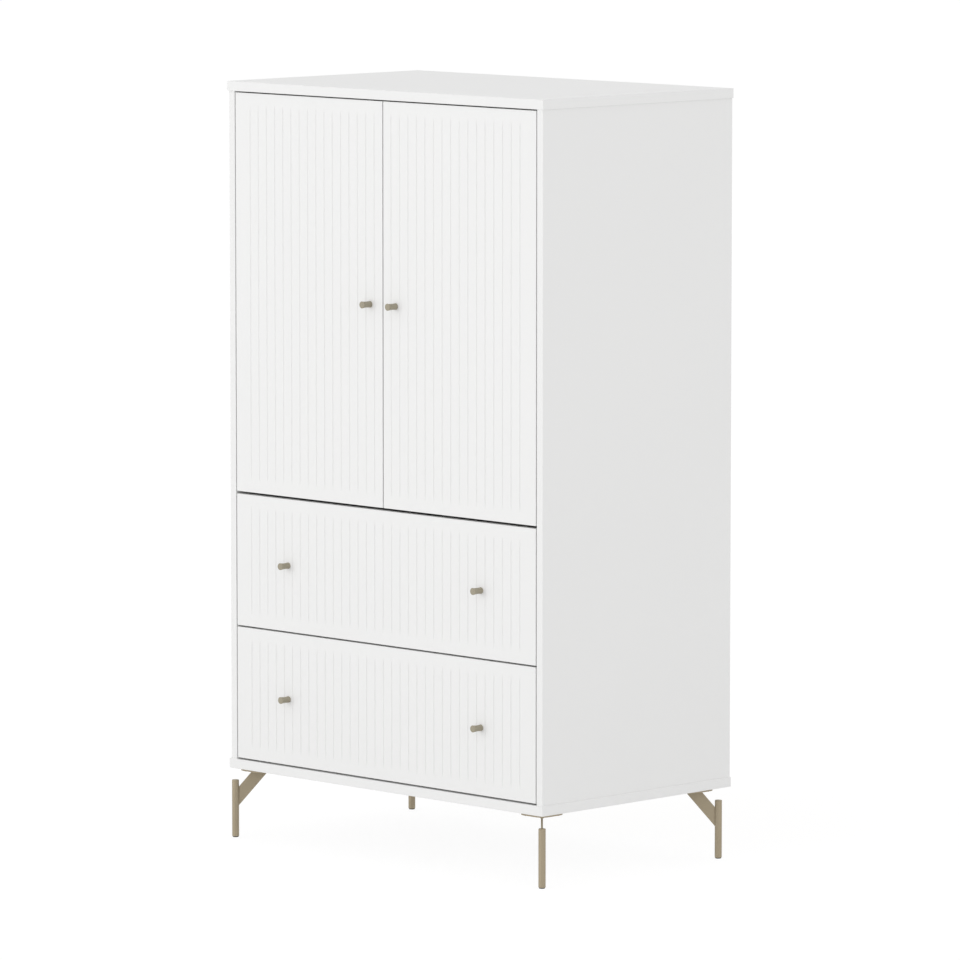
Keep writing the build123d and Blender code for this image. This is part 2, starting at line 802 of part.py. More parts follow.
knob_screw_length = front_thickness + knob_screw_grip
knob_screw_part = screw(knob_screw_radius, knob_screw_length, screw_head_radius, screw_head_height)
knob_screw_bore = bore(knob_screw_radius, front_thickness)


# ---------------------------------------------------------------- grooved fronts

def groove_cutter(length):
    """Rod with tapered ends, centred on the origin. Its side cuts one groove, shallower at each end."""
    clear_radius = groove_radius - groove_depth
    tip_radius = clear_radius * 0.8
    full_half = (length - groove_run_out) / 2
    tip_half = full_half + groove_run_out * (groove_radius - tip_radius) / groove_depth
    with BuildPart() as cutter:
        with BuildSketch(Plane.XZ):
            with BuildLine():
                Polyline((0, -tip_half), (tip_radius, -tip_half), (groove_radius, -full_half),
                         (groove_radius, full_half), (tip_radius, tip_half), (0, tip_half), close=True)
            make_face()
        revolve(axis=Axis.Z)
    return cutter.part


def grooved_front(x_span, z_span, grooves, knobs):
    """Board with rounded edges, vertical grooves on its face and a hole for each knob screw."""
    with BuildPart() as front:
        block(x_span, (y_front, y_inside_front), z_span)
        fillet(front.edges(), radius=edge_round)
        cutter = groove_cutter(z_span[1] - z_span[0] - 2 * groove_margin)
        z_middle = (z_span[0] + z_span[1]) / 2
        y_axis = y_front + groove_depth - groove_radius
        with Locations(*[(i * groove_pitch, y_axis, z_middle) for i in grooves]):
            add(cutter, mode=Mode.SUBTRACT)
        with Locations(*[knob_screw_place(x, z) for x, z in knobs]):
            add(knob_screw_bore, mode=Mode.SUBTRACT)
    return front


# ---------------------------------------------------------------- doors

door_knob_x = door_free_edge + door_knob_inset
door_blank = grooved_front((door_free_edge, door_hinge_edge), door_span,
                           range(1, grooves_per_half + 1), [(door_knob_x, door_middle)])

with BuildPart() as cup_pocket:
    with BuildSketch(Plane(origin=(cup_x, y_cup_bottom, 0), z_dir=(0, 1, 0))):
        Circle(cup_radius)
    extrude(amount=cup_depth)
    with Locations(*cup_screws):
        add(small_bore, mode=Mode.SUBTRACT)
        add(small_bore)

with BuildPart() as door_right:
    add(door_blank.part)
    with Locations(*right_heights):
        add(cup_pocket.part, mode=Mode.SUBTRACT)
write(door_right, "door_right")
door_left = mirrored(door_right.part)
write(door_left, "door_left")

for side_name, side in (("right", 1), ("left", -1)):
    door_knob = knob_at(side * door_knob_x, door_middle)
    write(door_knob, f"door_knob_{side_name}")
    with BuildPart() as door_knob_screw:
        with Locations(knob_screw_place(side * door_knob_x, door_middle)):
            add(knob_screw_part)
    write(door_knob_screw, f"door_knob_screw_{side_name}")


# ---------------------------------------------------------------- drawer runners
# Three nested channels: the case member is screwed to the side panel, the drawer member to the
# drawer's side, and the middle one slides between them.

def channel(side, level, web, lip, height):
    """One channel of a runner: its web and its lips' ends are measured from the case wall."""
    across = Plane(origin=(side * side_inner, runner_front, level), x_dir=(-side, 0, 0), z_dir=(0, 1, 0))
    web_inner = web + runner_metal if lip > web else web - runner_metal
    outer = height / 2
    inner = outer - runner_metal
    with BuildPart() as one_channel:
        with BuildSketch(across):
            with BuildLine():
                Polyline((web, -outer), (web, outer), (lip, outer), (lip, inner), (web_inner, inner),
                         (web_inner, -inner), (lip, -inner), (lip, -outer), close=True)
            make_face()
        extrude(amount=runner_length)
    return one_channel.part


nesting = 2 * (runner_metal + runner_clearance)
middle_height = runner_height - nesting
drawer_member_height = middle_height - nesting


def runner_pair(level, web, lip, height):
    """The same channel on the left and on the right of a drawer."""
    with BuildPart() as pair:
        for side in (-1, 1):
            add(channel(side, level, web, lip, height))
    return pair


def member_planes(side, level):
    """Three screws that hold one drawer member to its drawer's side."""
    x = side * (drawer_outer + runner_metal)
    y_mid = runner_front + runner_length / 2
    return [facing(x, y_mid + i * runner_screw_pitch, level, (side, 0, 0)) for i in (-1, 0, 1)]


# ---------------------------------------------------------------- drawers

def build_drawer(drawer, span):
    """All pieces of one drawer and the runners that carry it."""
    z_low = span[0] + drawer_side_lift
    z_high = z_low + drawer_side_height
    z_sheet = z_low + drawer_bottom_lift
    z_sheet_top = z_sheet + drawer_bottom_thickness
    groove_span = (z_sheet, z_sheet_top + drawer_groove_clearance)
    y_back_outer = y_drawer_end - drawer_back_inset
    y_back_piece = (y_back_outer - drawer_back_thickness, y_back_outer)
    level = runner_level(span)
    right_knob = (drawer_knob_spread / 2, (span[0] + span[1]) / 2)
    left_knob = (-right_knob[0], right_knob[1])

    blank = grooved_front((-front_half, front_half), span,
                          range(-grooves_per_half, grooves_per_half + 1), [left_knob, right_knob])
    with BuildPart() as front:
        add(blank.part)
        housing = (y_inside_front - drawer_housing_depth, y_inside_front)
        for side in (-1, 1):
            side_x = tuple(sorted((side * drawer_inner, side * drawer_outer)))
            block(side_x, housing, (z_low, z_high), mode=Mode.SUBTRACT)
        sheet_half = drawer_inner + drawer_groove_depth
        block((-sheet_half, sheet_half), (y_inside_front - drawer_groove_depth, y_inside_front), groove_span,
              mode=Mode.SUBTRACT)
    write(front, f"{drawer}_front")

    with BuildPart() as side_right:
        board_span = (y_inside_front - drawer_housing_depth, y_drawer_end)
        block((drawer_inner, drawer_outer), board_span, (z_low, z_high))
        block((drawer_inner, drawer_inner + drawer_groove_depth), board_span, groove_span, mode=Mode.SUBTRACT)
        block((drawer_inner, drawer_inner + drawer_back_housing), y_back_piece, (z_sheet_top, z_high),
              mode=Mode.SUBTRACT)
        with Locations(*member_planes(1, level)):
            add(small_bore, mode=Mode.SUBTRACT)
    write(side_right, f"{drawer}_side_right")
    side_left = mirrored(side_right.part)
    write(side_left, f"{drawer}_side_left")

    with BuildPart() as back:
        half = drawer_inner + drawer_back_housing
        block((-half, half), y_back_piece, (z_sheet_top, z_high))
    write(back, f"{drawer}_back")

    with BuildPart() as bottom:
        half = drawer_inner + drawer_groove_depth - drawer_groove_clearance
        y_tongue = y_inside_front - drawer_groove_depth + drawer_groove_clearance
        block((-half, half), (y_tongue, y_back_piece[1]), (z_sheet, z_sheet_top))
    write(bottom, f"{drawer}_bottom")

    for side_name, knob_place in (("left", left_knob), ("right", right_knob)):
        knob = knob_at(*knob_place)
        write(knob, f"{drawer}_knob_{side_name}")
    with BuildPart() as knob_screws:
        with Locations(knob_screw_place(*left_knob), knob_screw_place(*right_knob)):
            add(knob_screw_part)
    write(knob_screws, f"{drawer}_knob_screws")

    drawer_web = runner_space
    drawer_runners = runner_pair(level, drawer_web, drawer_web - runner_metal - drawer_member_flange,
                                 drawer_member_height)
    with BuildPart() as drawer_members:
        add(drawer_runners.part)
        with Locations(*member_planes(1, level), *member_planes(-1, level)):
            add(small_bore, mode=Mode.SUBTRACT)
    write(drawer_members, f"{drawer}_runners")
    with BuildPart() as runner_screws:
        with Locations(*member_planes(1, level), *member_planes(-1, level)):
            add(small_screw)
    write(runner_screws, f"{drawer}_runner_screws")


def build_case_runners(level_name, span):
    """The case members and the middle members of one drawer's two runners."""
    level = runner_level(span)
    with BuildPart() as case_members:
        add(runner_pair(level, 0, runner_flange, runner_height).part)
        with Locations(*runner_planes(1, level), *runner_planes(-1, level)):
            add(small_bore, mode=Mode.SUBTRACT)
    write(case_members, f"case_runners_{level_name}")
    middles = runner_pair(level, middle_from_wall, middle_from_wall + middle_flange, middle_height)
    write(middles, f"middle_runners_{level_name}")


for level_name, front_span in (("upper", upper_front), ("lower", lower_front)):
    build_drawer(f"drawer_{level_name}", front_span)
    build_case_runners(level_name, front_span)
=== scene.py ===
"""Looks of a white wardrobe with two grooved doors over two grooved drawers, on four metal legs.

Everything is in metres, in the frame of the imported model: the front faces -Y, +Z is up, and the
floor is z = 0. The boards, legs and fittings of the model stay and get their finishes here. The
turned knobs, the screws, the welds and the hinge set screws are new surfaces.
"""
import json
from math import pi, radians

import bpy
import numpy as np
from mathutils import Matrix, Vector


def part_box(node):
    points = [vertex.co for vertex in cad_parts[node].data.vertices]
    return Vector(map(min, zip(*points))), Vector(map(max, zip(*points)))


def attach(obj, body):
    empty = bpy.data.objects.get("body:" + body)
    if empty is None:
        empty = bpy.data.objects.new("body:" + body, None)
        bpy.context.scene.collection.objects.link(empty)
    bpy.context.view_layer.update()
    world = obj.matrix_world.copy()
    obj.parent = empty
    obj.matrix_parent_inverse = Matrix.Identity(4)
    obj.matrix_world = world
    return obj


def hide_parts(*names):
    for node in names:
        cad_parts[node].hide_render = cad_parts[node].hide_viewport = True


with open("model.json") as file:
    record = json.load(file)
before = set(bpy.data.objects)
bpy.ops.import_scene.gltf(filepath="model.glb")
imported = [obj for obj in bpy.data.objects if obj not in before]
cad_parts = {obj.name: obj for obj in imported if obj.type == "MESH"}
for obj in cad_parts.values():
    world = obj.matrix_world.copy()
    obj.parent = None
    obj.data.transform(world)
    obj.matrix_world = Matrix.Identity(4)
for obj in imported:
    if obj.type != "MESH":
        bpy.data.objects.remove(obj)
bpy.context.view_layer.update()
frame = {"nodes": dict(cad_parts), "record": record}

MM = 0.001
nodes = frame["nodes"]


# ---------------------------------------------------------------- shader maths

class Value:
    """A number that varies over a surface. Arithmetic on it adds Math nodes to its finish."""

    def __init__(self, finish, socket):
        self.finish = finish
        self.socket = socket

    def math(self, operation, first, second):
        return self.finish.node("ShaderNodeMath", {"operation": operation}, {0: first, 1: second})

    def __add__(self, other):
        return self.math("ADD", self, other)

    def __radd__(self, other):
        return self.math("ADD", other, self)

    def __sub__(self, other):
        return self.math("SUBTRACT", self, other)

    def __rsub__(self, other):
        return self.math("SUBTRACT", other, self)

    def __mul__(self, other):
        return self.math("MULTIPLY", self, other)

    def __rmul__(self, other):
        return self.math("MULTIPLY", other, self)

    def __gt__(self, other):
        return self.math("GREATER_THAN", self, other)

    def __lt__(self, other):
        return self.math("LESS_THAN", self, other)


class Finish:
    """One surface finish: a Principled shader whose varying inputs come from nodes."""

    def __init__(self, name, **constants):
        self.material = bpy.data.materials.new(name)
        self.material.use_nodes = True
        self.tree = self.material.node_tree
        self.tree.nodes.clear()
        self.output = self.tree.nodes.new("ShaderNodeOutputMaterial")
        self.shader = self.tree.nodes.new("ShaderNodeBsdfPrincipled")
        self.tree.links.new(self.shader.outputs[0], self.output.inputs[0])
        for label, value in constants.items():
            self.shader.inputs[label.replace("_", " ")].default_value = value
        self.place = self.node("ShaderNodeTexCoord", output="Object")

    def connect(self, value, target):
        """Link a value to a socket, or set the socket to a plain number or colour."""
        if isinstance(value, Value):
            self.tree.links.new(value.socket, target)
        else:
            target.default_value = value

    def node(self, kind, settings=None, inputs=None, output=0):
        """Add a node of a type, apply its settings, then fill its sockets; returns one output."""
        made = self.tree.nodes.new(kind)
        for label, value in (settings or {}).items():
            setattr(made, label, value)
        for label, value in (inputs or {}).items():
            self.connect(value, made.inputs[label])
        return Value(self, made.outputs[output])

    def feed(self, label, value):
        """Drive one input of the shader."""
        self.connect(value, self.shader.inputs[label])

    def stretched(self, scale):
        """Object coordinates stretched along the axes."""
        sockets = {"Vector": self.place, "Scale": scale}
        return self.node("ShaderNodeMapping", {"vector_type": "POINT"}, sockets)

    def noise(self, scale, detail=3.0, roughness=0.5, vector=None):
        """Noise between 0 and 1 with features of about 1/scale metres."""
        sockets = {"Vector": vector or self.place, "Scale": scale,
                   "Detail": detail, "Roughness": roughness}
        return self.node("ShaderNodeTexNoise", None, sockets)

    def cells(self, scale):
        """Distance to the middle of the nearest of many small cells, about 1/scale metres wide."""
        sockets = {"Vector": self.place, "Scale": scale}
        return self.node("ShaderNodeTexVoronoi", None, sockets, "Distance")

    def ramp(self, value, low, high):
        """Smooth step of a value from low to high."""
        return self.node("ShaderNodeMapRange", {"interpolation_type": "SMOOTHSTEP"},
                         {"Value": value, "From Min": low, "From Max": high})

    def blend(self, factor, first, second):
        """Mix of two colours."""
        sockets = {0: factor, 6: first, 7: second}
        return self.node("ShaderNodeMix", {"data_type": "RGBA"}, sockets, output=2)

    def component(self, vector, name):
        """One component of a vector as a number."""
        return self.node("ShaderNodeSeparateXYZ", None, {0: vector}, output=name)

    def axis(self, name):
        """One object coordinate as a number."""
        return self.component(self.place, name)

    def relief(self, height, depth, strength):
        """Bump the surface by a height field, depth in metres."""
        sockets = {"Height": height, "Distance": depth, "Strength": strength}
        self.feed("Normal", self.node("ShaderNodeBump", None, sockets))


def grey(level):
    """Neutral colour of one linear level."""
    return (level, level, level, 1.0)


def tinted(colour, factor):
    """A colour made lighter or darker by a factor."""
    return tuple(min(1.0, channel * factor) for channel in colour[:3]) + (1.0,)


# ---------------------------------------------------------------- finishes

WHITE = (0.835, 0.835, 0.830, 1.0)
FOIL_WHITE = (0.800, 0.800, 0.792, 1.0)
SHEET_WHITE = (0.770, 0.770, 0.755, 1.0)
CHAMPAGNE = (0.362, 0.303, 0.209, 1.0)
KNOB_CHAMPAGNE = (0.330, 0.296, 0.220, 1.0)
FIBRE_BROWN = (0.330, 0.235, 0.150, 1.0)
GLIDE_BLACK = (0.035, 0.033, 0.030, 1.0)
NICKEL = (0.660, 0.650, 0.620, 1.0)
ZINC_PLATE = (0.600, 0.600, 0.600, 1.0)
ZINC_CAST = (0.500, 0.500, 0.510, 1.0)
ROLLED_STEEL = (0.620, 0.630, 0.640, 1.0)
CHROME = (0.800, 0.800, 0.810, 1.0)
BEECH = (0.580, 0.400, 0.230, 1.0)

GROOVE_PITCH = 26.7 * MM
GROOVE_HALF = 2.1 * MM         # half of a groove's width at the face
GROOVE_DEPTH = 1.2 * MM
GROOVE_SHADE = 0.955             # painted shade: share of the lacquer's colour at the bottom of a groove
FACE_SKIN = 0.1 * MM            # depths within it count as the face itself


def lacquer(name, colour, gloss_roughness, face=None):
    """Sprayed satin lacquer: faint clouding, fine specks and orange peel.

    On a grooved front, whose face lies at the given depth, shade is painted into the grooves:
    the colour darkens with the depth below the face, near every multiple of the pitch.
    """
    finish = Finish(name, Specular_IOR_Level=0.42)
    clouds = finish.noise(2.2, 2.0)
    specks = finish.noise(160.0, 2.0)
    peel = finish.noise(420.0, 2.0, 0.45)
    tone = finish.blend(clouds, tinted(colour, 0.992), tinted(colour, 1.008))
    if face is not None:
        depth = finish.axis("Y") - face
        off_centre = finish.node("ShaderNodeMath", {"operation": "PINGPONG"},
                                 {0: finish.axis("X"), 1: GROOVE_PITCH / 2})
        # painted shade: mask of the groove bottoms, where the lacquer's colour is darkened
        groove_shade_mask = (off_centre < GROOVE_HALF) * (depth < GROOVE_DEPTH + FACE_SKIN)
        groove_shade_mask = groove_shade_mask * finish.ramp(depth, FACE_SKIN, 0.8 * GROOVE_DEPTH)
        tone = finish.blend(groove_shade_mask, tone, tinted(colour, GROOVE_SHADE))
    finish.feed("Base Color", tone)
    finish.feed("Roughness", gloss_roughness + (clouds - 0.5) * 0.05 + (specks - 0.5) * 0.06)
    finish.relief(peel * 0.7 + specks * 0.3, 0.04 * MM, 0.35)
    return finish.material


def foil_board(name, colour):
    """Foil-faced board of the drawer boxes: even, matt, with a very fine printed grain."""
    finish = Finish(name, Specular_IOR_Level=0.35)
    grain = finish.noise(30.0, 4.0, 0.6, finish.stretched((1.0, 1.0, 14.0)))
    fine = finish.noise(700.0, 2.0)
    finish.feed("Base Color", finish.blend(grain, tinted(colour, 0.975), tinted(colour, 1.01)))
    finish.feed("Roughness", 0.46 + (fine - 0.5) * 0.12)
    finish.relief(grain * 0.6 + fine * 0.4, 0.05 * MM, 0.4)
    return finish.material


def hardboard(name, colour, axis, sign):
    """Thin hardboard: painted on the face that looks along an axis, raw pressed fibre elsewhere.

    A face looks that way where its normal's component times the sign is over a half.
    """
    finish = Finish(name, Specular_IOR_Level=0.25)
    fibres = finish.noise(240.0, 6.0, 0.68, finish.stretched((1.0, 1.0, 0.35)))
    flecks = finish.noise(95.0, 5.0, 0.7)
    clouds = finish.noise(3.0, 2.0)
    painted = finish.blend(clouds, tinted(colour, 0.985), tinted(colour, 1.0))
    dark, pale, palest = [tinted(FIBRE_BROWN, factor) for factor in (0.88, 1.14, 1.45)]
    raw = finish.blend(finish.ramp(flecks, 0.25, 0.80), dark, pale)
    raw = finish.blend(finish.ramp(fibres, 0.50, 0.80) * 0.4, raw, palest)
    normal = finish.node("ShaderNodeTexCoord", output="Normal")
    raw_side = finish.component(normal, axis) * sign < 0.5
    finish.feed("Base Color", finish.blend(raw_side, painted, raw))
    finish.feed("Roughness", 0.52 + raw_side * 0.28 + (fibres - 0.5) * 0.1)
    finish.relief(fibres * 0.6 + flecks * 0.4, 0.12 * MM, 0.5)
    return finish.material


def powder_coat(name, colour, metallic, gloss_roughness):
    """Champagne powder coat with metal flake: warm grey, satin, finely pebbled."""
    finish = Finish(name, Metallic=metallic, Specular_IOR_Level=0.5)
    flake = finish.cells(2600.0)
    clouds = finish.noise(14.0, 3.0)
    pebble = finish.noise(1500.0, 2.0, 0.5)
    tone = finish.blend(clouds, tinted(colour, 0.95), tinted(colour, 1.05))
    tone = finish.blend(finish.ramp(flake, 0.15, 0.0) * 0.35, tone, tinted(colour, 1.5))
    finish.feed("Base Color", tone)
    variation = (clouds - 0.5) * 0.08 + (pebble - 0.5) * 0.1
    finish.feed("Roughness", gloss_roughness + variation)
    finish.relief(pebble, 0.05 * MM, 0.45)
    return finish.material


def plated(name, colour, roughness, brushed=(1.0, 1.0, 1.0)):
    """Plated or rolled steel: fine scratches, long along the axis brushed least, uneven sheen."""
    finish = Finish(name, Metallic=1.0)
    scratches = finish.noise(900.0, 3.0, 0.6, finish.stretched(brushed))
    stains = finish.noise(38.0, 4.0, 0.6)
    finish.feed("Base Color", finish.blend(stains, tinted(colour, 0.88), tinted(colour, 1.06)))
    variation = (scratches - 0.5) * 0.16 + (stains - 0.5) * 0.1
    finish.feed("Roughness", roughness + variation)
    finish.relief(scratches, 0.02 * MM, 0.3)
    return finish.material


def casting(name, colour):
    """Die-cast zinc: dull, with small pits."""
    finish = Finish(name, Metallic=0.9)
    pits = finish.cells(900.0)
    stains = finish.noise(120.0, 4.0, 0.65)
    finish.feed("Base Color", finish.blend(stains, tinted(colour, 0.8), tinted(colour, 1.1)))
    finish.feed("Roughness", 0.5 + (stains - 0.5) * 0.25)
    finish.relief(finish.ramp(pits, 0.0, 0.35), 0.08 * MM, 0.5)
    return finish.material


def beech(name, colour):
    """Plain beech with short darker flecks along the dowel."""
    finish = Finish(name, Specular_IOR_Level=0.3)
    grain = finish.noise(260.0, 4.0, 0.6, finish.stretched((0.3, 1.0, 0.3)))
    flecks = finish.ramp(grain, 0.35, 0.7)
    finish.feed("Base Color", finish.blend(flecks, tinted(colour, 0.8), tinted(colour, 1.1)))
    finish.feed("Roughness", 0.62 + (grain - 0.5) * 0.15)
    finish.relief(grain, 0.1 * MM, 0.5)
    return finish.material


def moulded_plastic(name, colour):
    """Dark moulded plastic with a spark-eroded texture."""
    finish = Finish(name, Specular_IOR_Level=0.4)
    texture = finish.noise(1200.0, 3.0, 0.6)
    scuffs = finish.ramp(finish.noise(90.0, 4.0, 0.7), 0.55, 0.8)
    finish.feed("Base Color", finish.blend(scuffs, colour, tinted(colour, 2.2)))
    finish.feed("Roughness", 0.5 + (texture - 0.5) * 0.2)
    finish.relief(texture, 0.05 * MM, 0.6)
    return finish.material


front_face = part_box("door_left")[0].y

finishes = {
    "case_lacquer": lacquer("case_lacquer", WHITE, 0.36),
    "front_lacquer": lacquer("front_lacquer", WHITE, 0.36, front_face),
    "back_board": hardboard("back_board", FOIL_WHITE, "Y", -1),
    "drawer_box_board": foil_board("drawer_box_board", FOIL_WHITE),
    "drawer_sheet": hardboard("drawer_sheet", SHEET_WHITE, "Z", 1),
    "champagne_metal": powder_coat("champagne_metal", CHAMPAGNE, 0.35, 0.43),
    "knob_champagne": powder_coat("knob_champagne", KNOB_CHAMPAGNE, 0.15, 0.52),
    "glide_plastic": moulded_plastic("glide_plastic", GLIDE_BLACK),
    "nickel_hinge": plated("nickel_hinge", NICKEL, 0.26),
    "plated_steel": plated("plated_steel", ZINC_PLATE, 0.32),
    "zinc_casting": casting("zinc_casting", ZINC_CAST),
    "runner_steel": plated("runner_steel", ROLLED_STEEL, 0.30, (1.0, 0.03, 1.0)),
    "rail_chrome": plated("rail_chrome", CHROME, 0.12, (0.02, 1.0, 1.0)),
    "beech_dowel": beech("beech_dowel", BEECH),
}

for part in frame["record"]["subparts"]:
    node = nodes[part["node"]]
    for holder in node.material_slots:
        holder.material = finishes[part["material_slot"]]


# ---------------------------------------------------------------- surfaces

def mesh_piece(name, grids, body, slot, finish=None):
    """One object from grids of points, each (rows, columns, 3) with closed columns and capped ends.

    A grid's rows run along the piece and its columns round it. Its first and last rows are
    closed by a fan to their mean point. The finish is the slot's own unless another is named.
    """
    points, faces, start = [], [], 0
    for grid in grids:
        rows, columns = grid.shape[:2]
        ring = np.arange(columns)
        row = np.arange(rows - 1)[:, None] * columns
        following = (ring + 1) % columns
        above = row + columns
        quads = np.stack([row + ring, row + following, above + following, above + ring], -1)
        low, high = rows * columns, rows * columns + 1
        last = (rows - 1) * columns
        low_fan = np.stack([following, ring, np.full(columns, low)], -1)
        high_fan = np.stack([last + ring, last + following, np.full(columns, high)], -1)
        points += [grid.reshape(-1, 3), grid[:1].mean(1), grid[-1:].mean(1)]
        faces += (quads.reshape(-1, 4) + start).tolist()
        faces += (low_fan + start).tolist() + (high_fan + start).tolist()
        start += rows * columns + 2
    mesh = bpy.data.meshes.new(name)
    mesh.from_pydata(np.concatenate(points).tolist(), [], faces)
    mesh.polygons.foreach_set("use_smooth", [True] * len(mesh.polygons))
    mesh.update()
    piece = bpy.data.objects.new(name, mesh)
    bpy.context.scene.collection.objects.link(piece)
    mesh.materials.append(finishes[finish or slot])
    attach(piece, body)
    return piece


def oriented(points, origin, outward):
    """Turn points whose +Z is outward onto a direction of the frame, and move them to an origin."""
    outward = np.array(outward, float)
    helper = np.array([0.0, 0.0, 1.0]) if abs(outward[2]) < 0.9 else np.array([0.0, 1.0, 0.0])
    across = np.cross(helper, outward)
    across /= np.linalg.norm(across)
    upward = np.cross(outward, across)
    return np.asarray(origin) + points @ np.stack([across, upward, outward])


def lathe(profile, columns):
    """Surface of revolution about z: point (r cos a, r sin a, h) for each (r, h) of the profile."""
    angle = np.linspace(0.0, 2 * pi, columns, endpoint=False)
    radius, height = profile[:, 0][:, None], profile[:, 1][:, None]
    level = np.broadcast_to(height, (len(profile), columns))
    return np.stack([radius * np.cos(angle), radius * np.sin(angle), level], -1)


# ---------------------------------------------------------------- knobs

KNOB_BASE = 7.3 * MM
KNOB_HEAD = 7.8 * MM
KNOB_DIP = 0.85 * MM            # how far the waist lies inside the straight line from base to head
KNOB_EDGE = 0.8 * MM
KNOB_DISH = 0.25 * MM
ROUND_COLUMNS = 64


def knob(name, body, node):
    """Turned knob: its radius dips to a waist between base and head, and its face is dished.

    Between base and head the radius is base + (head - base) t - 4 dip t (1 - t), with t along
    the axis. The rim is a quarter circle, and the face lies dish (1 - s^4) below it, with s the
    share of the face's radius.
    """
    low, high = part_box(node)
    centre = ((low.x + high.x) / 2, high.y, (low.z + high.z) / 2)
    length = high.y - low.y
    base, head, edge = KNOB_BASE, KNOB_HEAD, KNOB_EDGE
    t = np.linspace(0.0, 1.0, 33)
    radius = base + (head - base) * t - 4 * KNOB_DIP * t * (1 - t)
    barrel = np.stack([radius, edge + (length - 2 * edge) * t], -1)
    foot = np.array([[0.3 * base, 0.0], [base - edge / 2, 0.0], [base - 0.15 * edge, 0.3 * edge]])
    turn = np.linspace(0.0, pi / 2, 7)[1:]
    rim = np.stack([head - edge + edge * np.cos(turn), length - edge + edge * np.sin(turn)], -1)
    s = np.linspace(1.0, 0.0, 12)[1:-1]
    dish = np.stack([(head - edge) * s, length - KNOB_DISH * (1 - s ** 4)], -1)
    profile = np.concatenate([foot, barrel, rim, dish])
    grid = oriented(lathe(profile, ROUND_COLUMNS), centre, (0, -1, 0))
    piece = mesh_piece(name, [grid], body, "champagne_metal", "knob_champagne")
    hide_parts(node)


for side in ("left", "right"):
    knob(f"turned_door_knob_{side}", f"door_{side}", f"door_knob_{side}")
    for level in ("upper", "lower"):
        knob(f"turned_drawer_{level}_knob_{side}", f"drawer_{level}", f"drawer_{level}_knob_{side}")


# ---------------------------------------------------------------- screws

WELD_GRID = 0.01 * MM           # corners that share a cell of this size are one corner


def shells(node):
    """Low and high corners of each separate shell of a CAD node.

    Triangles that share a corner belong together: every corner takes the lowest label among the
    corners of its triangles until no label changes.
    """
    mesh = nodes[node].data
    mesh.calc_loop_triangles()
    corners = np.empty(len(mesh.loop_triangles) * 3, int)
    mesh.loop_triangles.foreach_get("vertices", corners)
    place = np.empty(len(mesh.vertices) * 3)
    mesh.vertices.foreach_get("co", place)
    place = place.reshape(-1, 3)
    _, shared = np.unique(np.round(place / WELD_GRID), axis=0, return_inverse=True)
    shared = shared.reshape(-1)
    triangles = shared[corners].reshape(-1, 3)
    label = np.arange(shared.max() + 1)
    while True:
        lowest = np.repeat(label[triangles].min(1), 3)
        merged = label.copy()
        np.minimum.at(merged, triangles.ravel(), lowest)
        if (merged == label).all():
            break
        label = merged
    owner = label[shared]
    groups = [place[owner == one] for one in np.unique(owner)]
    return [(group.min(0), group.max(0)) for group in groups]


SCREW_COLUMNS = 32
RECESS_INNER = 0.16             # cross recess: radius between its arms, in head radii
RECESS_REACH = 0.40             # how much further the arms reach, in head radii
RECESS_FLOOR = 0.35             # height of its floor, in head heights
FLAT_SHARE = 0.72               # flat middle of the head, in head radii
DOME_FOOT = 0.45                # height of the dome's foot, in head heights
THREAD_ROOT = 0.78              # in shank radii
THREAD_RIDGE = 0.22


def recessed_screw(head, shank, head_height, length, turns):
    """Pan-head screw on z = 0, shank down: rings of points, each a function of the angle a.

    The cross recess has the outline rho(a) = inner + reach cos(2 a)^6. Rings go from the middle
    of its floor out to rho, up its wall, over the flat, down the domed head, under it, and down
    a shank whose radius rises and falls once per turn of a helix, n turns down from the head:
    r = root + ridge (1 + cos(a - 2 pi n)) / 2.
    """
    angle = np.linspace(0.0, 2 * pi, SCREW_COLUMNS, endpoint=False)
    outline = head * (RECESS_INNER + RECESS_REACH * np.cos(2 * angle) ** 6)
    floor = head_height * RECESS_FLOOR

    def ring(radius, height):
        radius = np.broadcast_to(radius, angle.shape)
        height = np.broadcast_to(height, angle.shape)
        return np.stack([radius * np.cos(angle), radius * np.sin(angle), height], -1)

    rings = [ring(outline * share, floor) for share in (0.05, 0.9)]
    for share in np.linspace(0.0, 1.0, 6):
        rings.append(ring(outline + (FLAT_SHARE * head - outline) * share, head_height))
    for tilt in np.linspace(0.0, pi / 2, 5)[1:]:
        radius = head * (FLAT_SHARE + (1 - FLAT_SHARE) * np.sin(tilt))
        rings.append(ring(radius, head_height * (DOME_FOOT + (1 - DOME_FOOT) * np.cos(tilt))))
    rings.append(ring(head, 0.0))
    rings.append(ring(shank, 0.0))
    for depth in np.linspace(0.0, 1.0, 4 * turns + 1)[1:-2]:
        ridge = THREAD_RIDGE * shank * (1 + np.cos(angle - 2 * pi * turns * depth)) / 2
        rings.append(ring(THREAD_ROOT * shank + ridge, -length * depth))
    rings.append(ring(0.5 * shank, -length * 0.97))
    rings.append(ring(0.12 * shank, -length))
    return np.stack(rings)[::-1]


SHANK_SHARE = 0.48              # shank radius, in head radii


def screws(name, node, body, outward, head_height, turns, slot="plated_steel"):
    """Recessed screws in place of a CAD node's plain ones, heads turned outward."""
    grids = []
    for low, high in shells(node):
        direction = np.array(outward(low), float)
        along = np.abs(direction)
        size = high - low
        head = (size * (1 - along)).max() / 2
        middle = (low + high) / 2
        length = (size * along).sum()
        seat = middle + direction * (length / 2 - head_height)
        shaft = length - head_height
        one_screw = recessed_screw(head, head * SHANK_SHARE, head_height, shaft, turns)
        grids.append(oriented(one_screw, seat, direction))
    piece = mesh_piece(name, grids, body, slot)
    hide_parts(node)


def backwards(low):
    return (0, 1, 0)


def downwards(low):
    return (0, 0, -1)


def into_case(low):
    return (-np.sign(low[0]), 0, 0)


def away_from_drawer(low):
    return (np.sign(low[0]), 0, 0)


